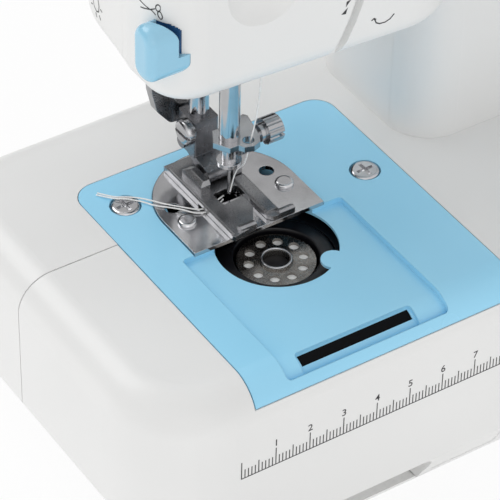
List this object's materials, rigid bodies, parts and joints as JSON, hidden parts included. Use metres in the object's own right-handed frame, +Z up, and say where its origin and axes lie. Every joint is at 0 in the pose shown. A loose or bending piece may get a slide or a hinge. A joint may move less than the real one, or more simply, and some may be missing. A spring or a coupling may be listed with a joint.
{
  "type": "sewing machine",
  "caption": "Compact free-arm sewing machine: drop-in bobbin under a needle plate, presser foot with lifter, accessory drawer, dials, spool pins and a handwheel.",
  "frame": {"origin": "bottom centre of the whole machine, on the surface that its rubber feet stand on", "axes": "+X along the arm towards the handwheel, +Y to the back, +Z up"},
  "size_m": [0.285, 0.1166, 0.27],
  "materials": {
    "shell_white": "satin moulded plastic, off-white",
    "cover_blue": "smooth moulded plastic, light blue",
    "dial_blue": "smooth moulded plastic, light blue",
    "cutter_blue": "smooth moulded plastic, pale blue",
    "hook_black": "matte black moulded plastic",
    "bobbin_steel": "pressed bright steel",
    "thread_white": "white spun thread",
    "plate_steel": "polished nickel-plated steel",
    "steel_plain": "plain bright steel",
    "frame_metal": "die-cast alloy, as cast",
    "bush_brass": "sintered bearing metal",
    "gear_nylon": "natural nylon",
    "handwheel_white": "satin moulded plastic, off-white",
    "button_white": "smooth moulded plastic, off-white",
    "rubber_dark": "black rubber",
    "motor_can": "plain steel can",
    "board_green": "glass-fibre circuit board, green",
    "jack_black": "black moulded plastic",
    "lens_clear": "clear moulded lens"
  },
  "bodies": {
    "machine": {"base_shell": "shell_white", "bottom_plate": "shell_white", "battery_cover": "shell_white", "rubber_feet": "rubber_dark", "plate_cover": "cover_blue", "plate_cover_screws": "steel_plain", "needle_plate": "plate_steel", "needle_plate_screws": "steel_plain", "front_housing": "shell_white", "rear_housing": "shell_white", "housing_screws": "steel_plain", "mechanism_frame": "frame_metal", "bushes": "bush_brass", "presser_spring": "steel_plain", "motor": "motor_can", "circuit_board": "board_green", "jacks": "jack_black", "tension_discs": "steel_plain", "thread_cutter": "cutter_blue", "cutter_blade": "steel_plain", "lamp_lens": "lens_clear", "motor_belt": "rubber_dark", "timing_belt": "rubber_dark", "thread_tail_a": "thread_white", "thread_tail_b": "thread_white", "bobbin_case": "hook_black"},
    "drawer": {"accessory_drawer": "shell_white"},
    "needle_slide": {"needle_bar": "plate_steel", "needle_clamp": "steel_plain", "needle": "steel_plain", "needle_thread": "thread_white"},
    "needle_screw": {"clamp_screw": "steel_plain"},
    "presser_slide": {"presser_bar": "plate_steel", "foot_holder": "plate_steel"},
    "foot_screw": {"holder_screw": "steel_plain"},
    "foot": {"presser_foot": "plate_steel"},
    "lifter": {"presser_lifter": "steel_plain"},
    "shaft": {"main_shaft": "steel_plain", "crank": "steel_plain", "shaft_pulleys": "gear_nylon", "handwheel": "handwheel_white"},
    "link": {"connecting_link": "steel_plain"},
    "under_shaft": {"lower_shaft": "gear_nylon", "drive_gear": "gear_nylon"},
    "rotary_hook": {"hook": "hook_black"},
    "bobbin_set": {"bobbin": "bobbin_steel", "bobbin_thread": "thread_white"},
    "rotor": {"motor_pulley": "steel_plain"},
    "take_up": {"take_up_lever": "steel_plain"},
    "feed_carrier": {"feed_bar": "steel_plain"},
    "feed": {"feed_dog": "steel_plain"},
    "stitch_knob": {"stitch_dial": "dial_blue"},
    "tension_knob": {"tension_dial": "dial_blue"},
    "power_key": {"power_button": "button_white"},
    "speed_key": {"speed_button": "button_white"},
    "reverse_key": {"reverse_button": "button_white"},
    "lamp_key": {"lamp_switch": "button_white"},
    "left_pin": {"spool_pin_left": "button_white"},
    "right_pin": {"spool_pin_right": "button_white"},
    "winder": {"winder_spindle": "button_white"}
  },
  "joints": [
    {"name": "drawer_slide", "type": "slide", "parent": "machine", "child": "drawer", "axis": [0, -1, 0], "range_m": [0, 0.06]},
    {"name": "needle_bar_slide", "type": "slide", "parent": "machine", "child": "needle_slide", "axis": [0, 0, 1], "range_m": [-0.009, 0.013]},
    {"name": "needle_screw_turn", "type": "hinge", "parent": "needle_slide", "child": "needle_screw", "pos_m": [-0.0677, 0.0076, 0.0818], "axis": [1, 0, 0], "range_deg": [-360, 0]},
    {"name": "lifter_turn", "type": "hinge", "parent": "machine", "child": "lifter", "pos_m": [-0.0837, 0.0284, 0.129], "axis": [0, -1, 0], "range_deg": [0, 50]},
    {"name": "presser_slide", "type": "slide", "parent": "machine", "child": "presser_slide", "axis": [0, 0, 1], "range_m": [0, 0.0045], "stiffness_N_per_m": 150, "deforming": ["presser_spring"]},
    {"name": "foot_screw_turn", "type": "hinge", "parent": "presser_slide", "child": "foot_screw", "pos_m": [-0.0857, 0.0194, 0.0804], "axis": [1, 0, 0], "range_deg": [-360, 0]},
    {"name": "foot_tilt", "type": "hinge", "parent": "presser_slide", "child": "foot", "pos_m": [-0.0797, 0.0127, 0.0694], "axis": [-1, 0, 0], "range_deg": [0, 5]},
    {"name": "main_shaft_turn", "type": "hinge", "parent": "machine", "child": "shaft", "pos_m": [0, 0.0152, 0.182], "axis": [1, 0, 0], "continuous": true},
    {"name": "link_turn", "type": "hinge", "parent": "shaft", "child": "link", "pos_m": [-0.0718, 0.00438, 0.18], "axis": [1, 0, 0], "continuous": true},
    {"name": "lower_shaft_turn", "type": "hinge", "parent": "machine", "child": "under_shaft", "pos_m": [-0.03, 0.0103, 0.0305], "axis": [1, 0, 0], "continuous": true},
    {"name": "hook_turn", "type": "hinge", "parent": "machine", "child": "rotary_hook", "pos_m": [-0.0785, -0.0137, 0.04], "axis": [0, 0, 1], "continuous": true},
    {"name": "rotor_turn", "type": "hinge", "parent": "machine", "child": "rotor", "pos_m": [0.085, 0.0277, 0.095], "axis": [1, 0, 0], "continuous": true},
    {"name": "bobbin_turn", "type": "hinge", "parent": "machine", "child": "bobbin_set", "pos_m": [-0.0785, -0.0137, 0.052], "axis": [0, 0, 1], "continuous": true},
    {"name": "take_up_swing", "type": "hinge", "parent": "machine", "child": "take_up", "pos_m": [-0.0889, 0.0327, 0.17], "axis": [1, 0, 0], "range_deg": [-20, 20]},
    {"name": "feed_lift", "type": "slide", "parent": "machine", "child": "feed_carrier", "axis": [0, 0, 1], "range_m": [-0.0015, 0]},
    {"name": "feed_travel", "type": "slide", "parent": "feed_carrier", "child": "feed", "axis": [0, 1, 0], "range_m": [-0.0015, 0.0015]},
    {"name": "stitch_dial_turn", "type": "hinge", "parent": "machine", "child": "stitch_knob", "pos_m": [0.0363, -0.0073, 0.127], "axis": [0, 1, 0], "range_deg": [0, 330]},
    {"name": "tension_dial_turn", "type": "hinge", "parent": "machine", "child": "tension_knob", "pos_m": [-0.0575, -0.0203, 0.198], "axis": [0, 1, 0], "range_deg": [-150, 150]},
    {"name": "power_press", "type": "slide", "parent": "machine", "child": "power_key", "axis": [0, 1, 0], "range_m": [0, 0.0022], "stiffness_N_per_m": 350},
    {"name": "speed_press", "type": "slide", "parent": "machine", "child": "speed_key", "axis": [0, 1, 0], "range_m": [0, 0.0022], "stiffness_N_per_m": 350},
    {"name": "reverse_press", "type": "slide", "parent": "machine", "child": "reverse_key", "axis": [0, 1, 0], "range_m": [0, 0.0022], "stiffness_N_per_m": 350},
    {"name": "lamp_press", "type": "slide", "parent": "machine", "child": "lamp_key", "axis": [1, 0, 0], "range_m": [0, 0.0018], "stiffness_N_per_m": 350},
    {"name": "left_pin_slide", "type": "slide", "parent": "machine", "child": "left_pin", "axis": [0, 0, 1], "range_m": [-0.024, 0]},
    {"name": "right_pin_slide", "type": "slide", "parent": "machine", "child": "right_pin", "axis": [0, 0, 1], "range_m": [-0.024, 0]},
    {"name": "winder_turn", "type": "hinge", "parent": "machine", "child": "winder", "pos_m": [0.09, 0.0197, 0.235], "axis": [0, 0, 1], "continuous": true}
  ],
  "couplings": [
    {"joint": "link_turn", "follows": "main_shaft_turn", "ratio": -1},
    {"joint": "lower_shaft_turn", "follows": "main_shaft_turn", "ratio": 2},
    {"joint": "hook_turn", "follows": "main_shaft_turn", "ratio": 2},
    {"joint": "rotor_turn", "follows": "main_shaft_turn", "ratio": 3.125},
    {"joint": "lifter_turn", "follows": "presser_slide", "rad_per_m": 193.92},
    {"joint": "foot_tilt", "follows": "presser_slide", "rad_per_m": 19.383}
  ]
}
